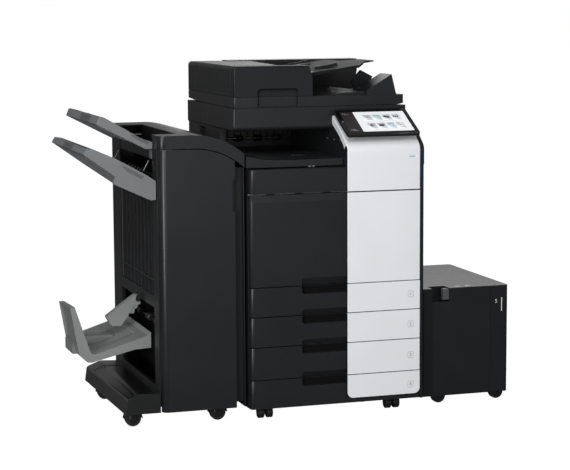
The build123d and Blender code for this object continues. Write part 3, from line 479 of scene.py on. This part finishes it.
def make_grip_shades():
    """Painted shade: a near-black sheet on the back of each drawer's finger grip, where the recess lies in
    shadow.
    """
    for number in range(1, 5):
        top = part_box(f"drawer_{number}")[1][2] / MM
        height = (top - GRIP_HEIGHTS[0], top - GRIP_HEIGHTS[1])
        add_piece(f"drawer_{number}_grip", "charcoal_plastic", f"drawer_{number}",
                  [bar(GRIP_X, GRIP_BACK, height)], "grip_shade", soft=0.2)


def make_output_bay():
    """Ribs, exit rollers and marks of the bay, and the rails and pad of its tray."""
    wall_ribs = [bar((x, x + 3), (BAY_REAR - 7, BAY_REAR), (897, 960)) for x in range(24, 330, 25)]
    add_piece("bay_wall_ribs", "charcoal_plastic", "copier", wall_ribs, soft=0.6)
    shaft = rod((22, *BAY_SHAFT), (332, *BAY_SHAFT), 4)
    add_piece("bay_exit_shaft", "bright_steel", "copier", [shaft], soft=0)
    add_piece("bay_exit_rollers", "caster_rubber", "copier",
              rollers(across_x, BAY_SHAFT, (60, 130, 200, 270), 24, 11), "roller_rubber", soft=0)
    marks = [bar((BAY_RIGHT - 1, BAY_RIGHT + 0.2), (y, y + 14), (931, 934)) for y in (58, 120, 188)]
    add_piece("bay_side_marks", "charcoal_plastic", "copier", marks, "faint_mark_and_edge_highlight", soft=0)
    slope = [(60, 880.2), (150, 876.2), (338, 878.2), (338, 879.4), (150, 877.4), (60, 881.4)]
    add_piece("output_tray_rails", "charcoal_plastic", "copier",
              ribs(across_y, slope, range(70, 580, 42), 4), soft=0.4)
    pad = prism(across_z, rounded((205, 262), (190, 552), 14), (876.5, 879.2))
    add_piece("output_tray_pad", "charcoal_plastic", "copier", [pad], "raised_charcoal", soft=0.8)


# ------------------------------------------------------------------ document feeder
HOOD_LEFT, COVER_TOP = -9.0, 1184.0
TRAY_LOW, TRAY_HIGH = (303.0, 1163.0), (540.0, 1188.0)      # x and z of the tray's top at two stations
RECESS_DEPTH, RECESS_SIDE = (148.6, 161.5), (75.2, 79)      # y and x of the finger recess's shaded part
ROLLER_STARTS = (300, 400, 500)


def on_tray(u, v, w):
    """Point on the document tray: u is x, v is y, w stands off its sloping top."""
    return at(u, v, up_slope(TRAY_LOW, TRAY_HIGH, u) + w)


def make_hood_details():
    """Seam, rim with its painted highlight, painted shade in the finger recess, and rollers of the hood over
    the feed.
    """
    outer = rounded((182, 633), (1088, 1176), 10)
    inner = rounded((183.4, 631.6), (1089.4, 1174.6), 8.6)
    seam = frame_ring(across_x, outer, inner, (HOOD_LEFT - 0.7, HOOD_LEFT + 0.2))
    add_piece("hood_end_panel_seam", "charcoal_plastic", "feed_cover", [seam], "raised_charcoal", soft=0.2)
    # painted highlight: the rim is a lighter charcoal ring on the hood's top, standing in for the light along
    # its top edge
    outer, inner = rounded((6, 250), (166, 206), 6), rounded((7.5, 248.5), (167.5, 204.5), 4.5)
    rim = frame_ring(across_z, outer, inner, (COVER_TOP - 0.2, COVER_TOP + 0.5))
    add_piece("hood_top_rim_highlight", "charcoal_plastic", "feed_cover", [rim], "raised_charcoal", soft=0.1)
    # painted shade: near-black sheets on the roof and side of the finger recess, in the cover above the seam
    # and in the base under it
    roof = [bar((76, 216), RECESS_DEPTH, (1104.5, 1107.6)), bar(RECESS_SIDE, RECESS_DEPTH, (1089, 1100))]
    add_piece("grip_roof", "charcoal_plastic", "feed_cover", roof, "grip_shade", soft=0.3)
    side = bar(RECESS_SIDE, RECESS_DEPTH, (1048, 1087))
    add_piece("grip_side", "charcoal_plastic", "document_feeder", [side], "grip_shade", soft=0.3)
    shaft = rod((226, 222, 1140), (226, 646, 1140), 4)
    add_piece("feed_shaft", "bright_steel", "feed_cover", [shaft], soft=0)
    add_piece("feed_rollers", "caster_rubber", "feed_cover",
              rollers(across_y, (226, 1140), ROLLER_STARTS, 34, 13), "roller_rubber", soft=0)


def make_feeder_details():
    """Hood details, then the ribs, marks, painted edge highlight and rollers of the document tray and the
    deck under it.
    """
    make_hood_details()
    tray_ribs = [prism(on_tray, rectangle((306, 430), (y, y + 3)), (-0.6, 0.9)) for y in range(196, 640, 36)]
    add_piece("document_tray_ribs", "charcoal_plastic", "document_feeder", tray_ribs, "raised_charcoal",
              soft=0.3)
    marks = [prism(on_tray, rectangle((x, x + 9), (y, y + 14)), (0, 0.6))
             for x, y in ((424, 366), (446, 400), (468, 436))]
    add_piece("size_marks", "charcoal_plastic", "document_feeder", marks, "small_mark", soft=0)
    # painted highlight: a lighter strip along the tray's left edge, standing in for the light on that edge
    tray_edge_highlight = prism(across_y, [(274.5, 1157), (283, 1159), (283, 1161), (274.5, 1159)], (180, 640))
    add_piece("document_tray_edge_highlight", "charcoal_plastic", "document_feeder", [tray_edge_highlight], "faint_mark_and_edge_highlight", soft=0.2)
    wedge = [(292, 1080), (466, 1080), (466, 1093), (292, 1081)]
    deck = ribs(across_y, wedge, range(272, 650, 42), 3)
    add_piece("document_deck_ribs", "charcoal_plastic", "document_feeder", deck, "raised_charcoal", soft=0.4)
    add_piece("document_eject_roller", "caster_rubber", "document_feeder",
              rollers(across_y, (284, 1098), ROLLER_STARTS, 25, 8, chamfer=1), "roller_rubber", soft=0)


# ------------------------------------------------------------------ finisher
EXIT_SHAFT, BOOKLET_SHAFT = (-282, 828), (-262, 322)        # x and z of the roller axes
LOWER_CHEEK, UPPER_CHEEK = 62.0, 98.0          # front faces of the lower and the upper tray


def cross_shaft(axis):
    """Shaft from front to back through the finisher."""
    x, z = axis
    return rod((x, 118, z), (x, 598, z), 4)


def make_finisher_details():
    """Rollers, rods, rails and knobs of the finisher, and the seams on its back."""
    for name, y in (("front", 150), ("back", 598)):
        slanted = rod((-303, y, 880), (-321, y, 847), 1.6)
        add_piece(f"exit_{name}_rod", "bright_steel", "finisher", [slanted], soft=0)
    add_piece("exit_roller_shaft", "dark_mechanism", "finisher", [cross_shaft(EXIT_SHAFT)], soft=0)
    add_piece("exit_rollers", "caster_rubber", "finisher",
              rollers(across_y, EXIT_SHAFT, (286, 336, 380, 424, 468, 556), 24, 15), "roller_rubber", soft=0)
    bracket = bar((-301.4, -299.8), (117, 150), (888, 917))
    add_piece("exit_bracket", "charcoal_plastic", "finisher", [bracket], "faint_mark_and_edge_highlight", soft=0.4)
    step = bar((-298.5, -292), (116, 599), (480, 484))
    add_piece("travel_plate_step", "charcoal_plastic", "finisher", [step], "raised_charcoal", soft=0.8)
    rails = [bar((-298, -293), (y, y + 9), (431, 744)) for y in (119, 587)]
    add_piece("travel_rails", "charcoal_plastic", "finisher", rails, "raised_charcoal", soft=1.2)
    add_piece("booklet_rollers", "caster_rubber", "finisher",
              rollers(across_y, BOOKLET_SHAFT, (200, 320, 440), 36, 14), "roller_rubber", soft=0)
    add_piece("booklet_roller_shaft", "dark_mechanism", "finisher", [cross_shaft(BOOKLET_SHAFT)], soft=0)
    for index, centre in enumerate(((-150, 310), (-214, 520), (-110, 640))):
        knob = turned(across_y, centre, [(89, 6), (74, 6), (74, 15), (66, 16), (63, 14)])
        add_piece(f"jam_knob_{index}", "toner_plastic", "finisher", [knob], "knob_green", soft=0.4)
    seams = [bar((-299, -13), (724.6, 725.6), (z, z + 1.2)) for z in (300, 620)]
    add_piece("finisher_back_seams", "charcoal_plastic", "finisher", seams, "raised_charcoal", soft=0)


def make_lower_tray_details():
    """Slits, tip, pocket, tab and ribs of the lower tray."""
    # painted shade: the slits are near-black sheets where the openings lie in shadow
    slits = [bar((-524, -519), (y, end), (929.2, 930.4)) for y, end in ((240, 303), (454, 506))]
    add_piece("lower_tray_slits", "grey_plastic", "lower_tray", slits, "grip_shade", soft=0)
    tip = prism(across_y, [(-541.6, 915), (-541.0, 914.6), (-531.2, 930.6), (-531.9, 931)], (262, 410))
    add_piece("lower_tray_tip_grain", "grey_plastic", "lower_tray", [tip], "pocket_grey", soft=0)
    pocket = prism(across_y, [(-414, 872), (-402, 870), (-338, 835), (-350, 827), (-396, 853)],
                   (LOWER_CHEEK - 0.5, LOWER_CHEEK + 0.1))
    add_piece("lower_tray_pocket", "grey_plastic", "lower_tray", [pocket], "pocket_grey", soft=0.2)
    tab = bar((-520, -508), (120, 146), (892, 902))
    add_piece("lower_tray_tab", "grey_plastic", "lower_tray", [tab], soft=1.0)
    outline = [(-500, 912), (-440, 884), (-338, 827), (-338, 812), (-440, 862), (-500, 898)]
    add_piece("lower_tray_ribs", "grey_plastic", "lower_tray",
              ribs(across_y, outline, range(150, 511, 90), 3), soft=0.5)


def make_upper_tray_details():
    """Slits, tip, pocket, tabs and ribs of the upper tray."""
    # painted shade: the slits are near-black sheets where the openings lie in shadow
    slits = [bar((x, x + 5), (y, end), (z, z + 1.2))
             for x, y, end, z in ((-473, 279, 339, 1029.4), (-475, 431, 505, 1029.7))]
    add_piece("upper_tray_slits", "grey_plastic", "finisher", slits, "grip_shade", soft=0)
    tip = prism(across_y, [(-488.4, 1007.4), (-487.8, 1007), (-479.2, 1028.6), (-479.9, 1029)], (224, 371))
    add_piece("upper_tray_tip_grain", "grey_plastic", "finisher", [tip], "pocket_grey", soft=0)
    pocket = prism(across_y, [(-377, 973), (-364, 969.5), (-309, 943.5), (-318, 935), (-363, 959)],
                   (UPPER_CHEEK - 0.5, UPPER_CHEEK + 0.1))
    add_piece("upper_tray_pocket", "grey_plastic", "finisher", [pocket], "pocket_grey", soft=0.2)
    tabs = [bar((x, x + 9), (108, 124), (z, z + 12)) for x, z in ((-428, 968), (-408, 957))]
    add_piece("upper_tray_tabs", "grey_plastic", "finisher", tabs, "pocket_grey", soft=1.0)
    outline = [(-458, 1013), (-388, 971), (-335, 941), (-335, 930), (-388, 958), (-458, 1000)]
    add_piece("upper_tray_ribs", "grey_plastic", "finisher",
              ribs(across_y, outline, range(180, 541, 90), 3), soft=0.5)


CHANNEL_LOW, CHANNEL_HIGH = (-488, 232), (-301, 289)        # x and z of the channel's floor at two stations


def on_booklet(u, v, w):
    """Point on the booklet tray's sunken channel: u is x, v is y, w stands off its slope."""
    return at(u, v, up_slope(CHANNEL_LOW, CHANNEL_HIGH, u) + w)


def make_booklet_details():
    """Ridge and hollow of the booklet tray, the joint over the foot, and the guide's hook."""
    outer, inner = rounded((-516, -386), (335, 442), 16), rounded((-512, -391), (340, 437), 12)
    ridge = frame_ring(across_z, outer, inner, (240, 267))
    add_piece("booklet_tray_ridge", "light_grey_plastic", "finisher", [ridge], soft=1.2)
    hollow = prism(on_booklet, rounded((-490, -392), (341, 436), 10), (-0.5, 0.6))
    add_piece("booklet_tray_hollow", "light_grey_plastic", "finisher", [hollow], "pocket_grey", soft=0)
    outside = [(-425, 62), (-424.5, 96), (-417, 108), (-400, 115.5), (-384, 119.8), (-366, 120.4),
               (-304, 117)]
    inside = [(-304, 115.4), (-366, 118.8), (-384, 118), (-400, 113.8), (-416, 106.6), (-423, 95),
              (-423.5, 62)]
    groove = prism(across_y, outside + inside, (538, 543))
    add_piece("foot_cover_groove", "charcoal_plastic", "finisher", [groove], "menu_bar_and_slot_shade", soft=0)
    outline = [(-338, 342), (-333, 366), (-309, 372), (-313, 360), (-322, 356), (-325, 341)]
    hook = prism(across_y, outline, (308, 332))
    add_piece("booklet_guide_hook", "light_grey_plastic", "booklet_guide", [hook], soft=1.2)


# ------------------------------------------------------------------ side feeder
STORE_FACE, STORE_TOP, STORE_RIGHT = 56.0, 410.0, 961.0


def make_store_details():
    """Figure, level bar, arrows and painted-shade vents of the side feeder."""
    add_number("side_feeder_number", "5", (914, STORE_FACE - 0.2, 354), 13, "side_feeder", "charcoal_plastic",
               "pale_mark")
    level = prism(across_y, rounded((933.4, 936.6), (318, 367), 1.4), (STORE_FACE - 0.4, STORE_FACE))
    add_piece("side_feeder_level_bar", "charcoal_plastic", "side_feeder", [level], "pale_mark", soft=0)
    arrows = [[(x, 84), (x + 9, 76), (x + 9, 81), (x + 20, 81), (x + 20, 87), (x + 9, 87), (x + 9, 92)]
              for x in (768, 806)]
    add_piece("side_feeder_arrows", "charcoal_plastic", "side_feeder",
              [prism(across_z, arrow, (STORE_TOP, STORE_TOP + 0.3)) for arrow in arrows], "pale_mark", soft=0)
    # painted shade: the vents are near-black sheets on the side, standing in for the shadow inside the slots
    slots = [bar((STORE_RIGHT - 0.4, STORE_RIGHT), (y, y + 120), (z, z + 3))
             for y in (120, 360) for z in (90, 102, 114, 126)]
    add_piece("side_feeder_vents", "charcoal_plastic", "side_feeder", slots, "menu_bar_and_slot_shade", soft=0)


# ------------------------------------------------------------------ wheels
HOOD_OUTER, HOOD_INNER, HOOD_STEPS = 31, 29, 14
# name, unit, x of the axle, y of the two wheels, wheel radius
WHEEL_ROWS = (("finisher_left", "finisher", -384, (96, 534), 27),
              ("finisher_right", "finisher", -92, (96, 534), 27),
              ("side_feeder_left", "side_feeder", 711, (95, 530), 25),
              ("side_feeder_right", "side_feeder", 931, (95, 530), 25))


def hub(mapping, centre, face, side, radius):
    """Dished hub disc standing out of a wheel's face; side is -1 or 1."""
    rim, crown = face + side * 0.8, face + side * 1.6
    return turned(mapping, centre, [(face, radius), (rim, radius - 1), (rim, radius * 0.5),
                                    (crown, radius * 0.42), (crown, 2.0)], 24)


def arch(x, z, radius):
    """Half circle over the point x, z, from its right end to its left end."""
    angles = [pi * i / HOOD_STEPS for i in range(HOOD_STEPS + 1)]
    return [(x + radius * cos(angle), z + radius * sin(angle)) for angle in angles]


def make_wheel_details():
    """Hubs of all wheels, and the hoods over the finisher's wheels."""
    for name, unit, x, centres, radius in WHEEL_ROWS:
        hubs = [hub(across_y, (x, radius), y + side * 11, side, 16) for y in centres for side in (-1, 1)]
        add_piece(f"{name}_hubs", "caster_rubber", f"{name}_wheels", hubs, "raised_charcoal", soft=0)
        if unit == "finisher":
            outline = arch(x, radius, HOOD_OUTER) + arch(x, radius, HOOD_INNER)[::-1]
            add_piece(f"{name}_hoods", "charcoal_plastic", unit,
                      [prism(across_y, outline, (y - 15.5, y + 15.5)) for y in centres], soft=0.4)
    for row, y in (("front", 60), ("rear", 620)):
        for side, x in (("left", 67), ("right", 526)):
            hubs = [hub(across_x, (y + 9, 20), x + out * 25, out, 11) for out in (-1, 1)]
            add_piece(f"{row}_{side}_hubs", "caster_rubber", f"{row}_{side}_caster_wheels", hubs,
                      "raised_charcoal", soft=0)


# ------------------------------------------------------------------ backs and insides
def screws(name, body, face, places):
    """Pan-head screws on a back face; each place is x and z."""
    profile = [(face, 3.6), (face + 0.9, 3.3), (face + 1.5, 2.2)]
    heads = [turned(across_y, place, profile, 18) for place in places]
    add_piece(name, "bright_steel", body, heads, soft=0)


def make_backs():
    """Screws, ports and rating label on the backs."""
    screws("copier_back_screws", "copier", 700, [(x, z) for x in (16, 308, 600) for z in (60, 300, 560, 836)])
    screws("scanner_back_screws", "copier", 743, [(x, 980) for x in (10, 300, 590)])
    screws("finisher_back_screws", "finisher", 725, [(x, z) for x in (-288, -22) for z in (90, 470, 840)])
    screws("side_feeder_back_screws", "side_feeder", 580, [(x, z) for x in (656, 930) for z in (60, 392)])
    ports = [(x, z) for x in (520, 545) for z in (580, 610, 640)]
    sockets = [prism(across_y, rounded((x, x + 15), (z, z + 13), 1), (693.2, 696)) for x, z in ports]
    add_piece("port_sockets", "chassis_steel", "copier", sockets, soft=0.4)
    openings = [prism(across_y, rectangle((x + 2, x + 13), (z + 2, z + 11)), (695.6, 696.3))
                for x, z in ports]
    add_piece("port_openings", "dark_mechanism", "copier", openings, soft=0)
    label = prism(across_y, rounded((110, 190), (94, 134), 3), (699.8, 700.4))
    add_piece("rating_label", "white_plastic", "copier", [label], "number_grey", soft=0)


PLATE_BASES = (357.5, 255.5, 144.5, 45.0)      # heights that the drawers' lift plates are measured from


def make_insides():
    """Toner caps, lift plates, lamp, glass scale and belt handle."""
    for colour, x in (("cyan", 80), ("magenta", 180), ("yellow", 280), ("black", 380)):
        outer, inner = circle((x, 726), 35), circle((x, 726), 27)
        add_piece(f"{colour}_toner_cap", "toner_plastic", "copier",
                  [frame_ring(across_y, outer, inner, (24.6, 26.4))], f"{colour}_cap", soft=0.3)
    for number, base in enumerate(PLATE_BASES, start=1):
        add_piece(f"drawer_{number}_lift_plate", "bright_steel", f"drawer_{number}",
                  [prism(across_z, rounded((86, 570), (40, 630), 8), (base + 12, base + 13.5))], soft=0.3)
    lamp = bar((64, 69), (190, 650), (1033.8, 1034.6))
    add_piece("carriage_lamp", "foam_white", "scan_carriage", [lamp], soft=0.1)
    add_piece("glass_scale", "white_plastic", "copier", [bar((28, 46), (188, 622), (1043.4, 1043.8))], soft=0)
    ticks = [bar((40, 46), (y, y + 0.8), (1043.75, 1043.9)) for y in range(200, 620, 20)]
    add_piece("glass_scale_ticks", "dark_mechanism", "copier", ticks, soft=0)
    handle = [rod((470, 26, 560), (470, 26, 620), 5)]
    handle += [rod((470, 26, z), (470, 32, z), 4) for z in (562, 618)]
    add_piece("belt_release_handle", "toner_plastic", "copier", handle, "knob_green", soft=0)


# ------------------------------------------------------------------ stage
FLOOR_REACH = 30.0
FLOOR_GLOW, SKY_LEVEL = 0.96, 0.24


def make_floor():
    """Floor that reads as paper to the camera and stays dim in reflections."""
    floor_mesh = bpy.data.meshes.new("floor")
    reach = (-FLOOR_REACH, FLOOR_REACH)
    floor_mesh.from_pydata([(x, y, 0) for x, y in rectangle(reach, reach)], [], [(0, 1, 2, 3)])
    floor = bpy.data.objects.new("floor", floor_mesh)
    bpy.context.scene.collection.objects.link(floor)
    paper = plastic("floor_paper", (0.18, 0.18, 0.18), 0.9, grain=60.0, variation=0.01, specular=0.05)
    nodes, links = paper.node_tree.nodes, paper.node_tree.links
    seen = nodes.new("ShaderNodeLightPath")
    glow = nodes.new("ShaderNodeEmission")
    glow.inputs["Strength"].default_value = 1.06
    share = nodes.new("ShaderNodeMath")
    share.operation = "MULTIPLY"
    share.inputs[1].default_value = FLOOR_GLOW
    mix = nodes.new("ShaderNodeMixShader")
    links.new(seen.outputs["Is Camera Ray"], share.inputs[0])
    links.new(share.outputs["Value"], mix.inputs["Fac"])
    links.new(nodes["Principled BSDF"].outputs["BSDF"], mix.inputs[1])
    links.new(glow.outputs["Emission"], mix.inputs[2])
    links.new(mix.outputs["Shader"], nodes["Material Output"].inputs["Surface"])
    floor.data.materials.append(paper)


def make_sky():
    """Sky that is white to the camera and dim in reflections."""
    world = bpy.data.worlds.new("studio")
    bpy.context.scene.world = world
    world.use_nodes = True
    nodes, links = world.node_tree.nodes, world.node_tree.links
    seen = nodes.new("ShaderNodeLightPath")
    level = nodes.new("ShaderNodeMapRange")
    level.inputs["To Min"].default_value = SKY_LEVEL
    level.inputs["To Max"].default_value = 1.0
    links.new(seen.outputs["Is Camera Ray"], level.inputs["Value"])
    links.new(level.outputs["Result"], nodes["Background"].inputs["Strength"])
    nodes["Background"].inputs["Color"].default_value = (1, 1, 1, 1)
    bpy.context.scene.view_settings.view_transform = "Standard"


def area_light(name, place, target, size, power):
    """Rectangular light; place and target are in metres in the shared frame."""
    data = bpy.data.lights.new(name, "AREA")
    data.shape = "RECTANGLE"
    data.size, data.size_y = size
    data.energy = power
    light = bpy.data.objects.new(name, data)
    bpy.context.scene.collection.objects.link(light)
    light.location = place
    light.rotation_euler = (Vector(target) - Vector(place)).to_track_quat("-Z", "Y").to_euler()


def make_lights():
    """High key and low fill in front, a tall strip for the round corners, a panel behind for the tops."""
    middle = (0.0, 0.0, 0.6)
    area_light("key", (-1.5, -4.2, 3.3), middle, (2.2, 1.8), 112)
    area_light("fill", (0.2, -5.6, 1.1), middle, (3.0, 1.6), 20)
    area_light("strip", (-3.5, -4.0, 1.1), (-0.5, -0.3, 0.9), (0.3, 2.4), 140)
    area_light("top", (1.9, 3.4, 2.5), (0.1, 0.0, 0.9), (2.6, 2.0), 32)


make_camera()
dress_cad()
make_screen()
make_column_marks()
make_drawer_numbers()
make_grip_shades()
make_output_bay()
make_feeder_details()
make_finisher_details()
make_lower_tray_details()
make_upper_tray_details()
make_booklet_details()
make_store_details()
make_wheel_details()
make_backs()
make_insides()
make_floor()
make_sky()
make_lights()
